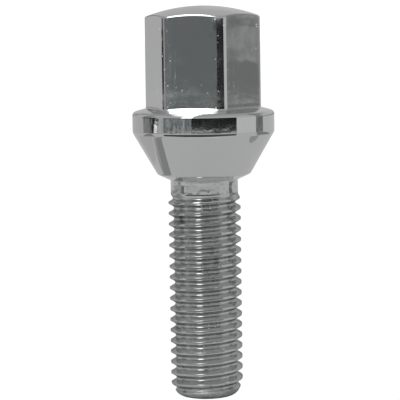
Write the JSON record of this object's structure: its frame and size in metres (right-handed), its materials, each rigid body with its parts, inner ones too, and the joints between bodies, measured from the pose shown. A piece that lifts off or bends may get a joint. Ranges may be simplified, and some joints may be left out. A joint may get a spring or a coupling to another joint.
{
  "type": "wheel bolt",
  "caption": "Chromed wheel bolt with a domed hexagon head, a collar with a conical seat, a plain neck and a metric thread.",
  "frame": {"origin": "centre of the flat end face of the thread, on which the bolt stands", "axes": "+Z along the bolt's axis to the head; two flats of the hexagon face -Y and +Y"},
  "size_m": [0.023, 0.023, 0.0639],
  "materials": {
    "chrome": "bright chrome plating, with fine scratches and handling scuffs"
  },
  "bodies": {
    "root": {"wheel_bolt": "chrome"}
  },
  "joints": []
}
